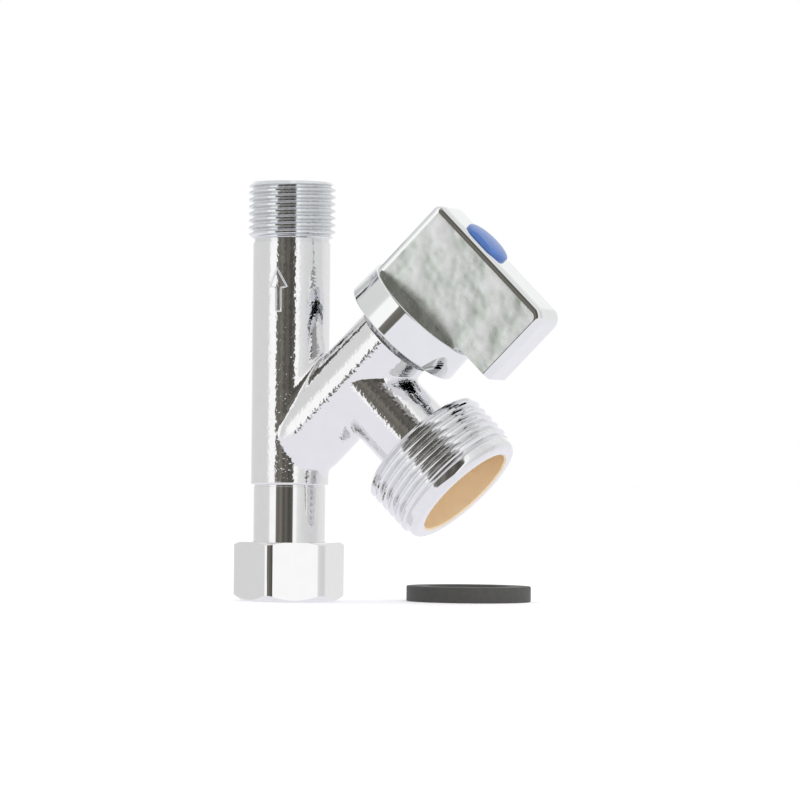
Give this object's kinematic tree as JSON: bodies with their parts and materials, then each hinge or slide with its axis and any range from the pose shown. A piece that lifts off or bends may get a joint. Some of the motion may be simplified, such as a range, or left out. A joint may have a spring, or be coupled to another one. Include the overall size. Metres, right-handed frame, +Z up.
{
  "type": "washing machine valve",
  "caption": "Chromed angle-branch appliance tap: through tube with swivel nut, quarter-turn lever headwork and threaded hose outlet, with its hose washer.",
  "frame": {"origin": "centre of the swivel nut's open lower face, on the through tube's axis", "axes": "+Z up the through tube to its male thread, +X towards the side of the boss and the outlet"},
  "size_m": [0.0622, 0.0442, 0.08],
  "materials": {
    "chromed_brass": "bright, cast skin under the plating",
    "chromed_nut": "bright, turned",
    "chromed_handle": "bright, die cast",
    "bare_brass": "turned",
    "spring_steel": "plain",
    "zinc_plated_steel": "zinc plated",
    "black_rubber": "matt",
    "blue_plastic": "glossy",
    "white_plastic": "smooth",
    "alumina": "lapped"
  },
  "bodies": {
    "valve_body": {"valve_body": "chromed_brass", "retaining_ring": "spring_steel", "inlet_seal": "black_rubber", "bonnet": "chromed_brass", "bonnet_o_ring": "black_rubber", "friction_washer": "white_plastic", "fixed_disc": "alumina", "seat_seal": "black_rubber", "seal_support_ring": "white_plastic", "hose_washer": "black_rubber"},
    "handle": {"handle": "chromed_handle", "spindle": "bare_brass", "spindle_o_ring_lower": "black_rubber", "spindle_o_ring_upper": "black_rubber", "spindle_clip": "spring_steel", "moving_disc": "alumina", "handle_screw": "zinc_plated_steel", "index_cap": "blue_plastic"},
    "slip_washer": {"slip_washer": "bare_brass"},
    "swivel_nut": {"swivel_nut": "chromed_nut"}
  },
  "joints": [
    {"name": "handle_turn", "type": "hinge", "parent": "valve_body", "child": "handle", "pos_m": [0, 0, 0.0282], "axis": [0.7071, 0, 0.7071], "range_deg": [-90, 0]},
    {"name": "nut_slide", "type": "slide", "parent": "valve_body", "child": "slip_washer", "axis": [0, 0, 1], "range_m": [0, 0.0108]},
    {"name": "nut_turn", "type": "hinge", "parent": "slip_washer", "child": "swivel_nut", "pos_m": [0, 0, 0], "axis": [0, 0, 1], "continuous": true}
  ]
}
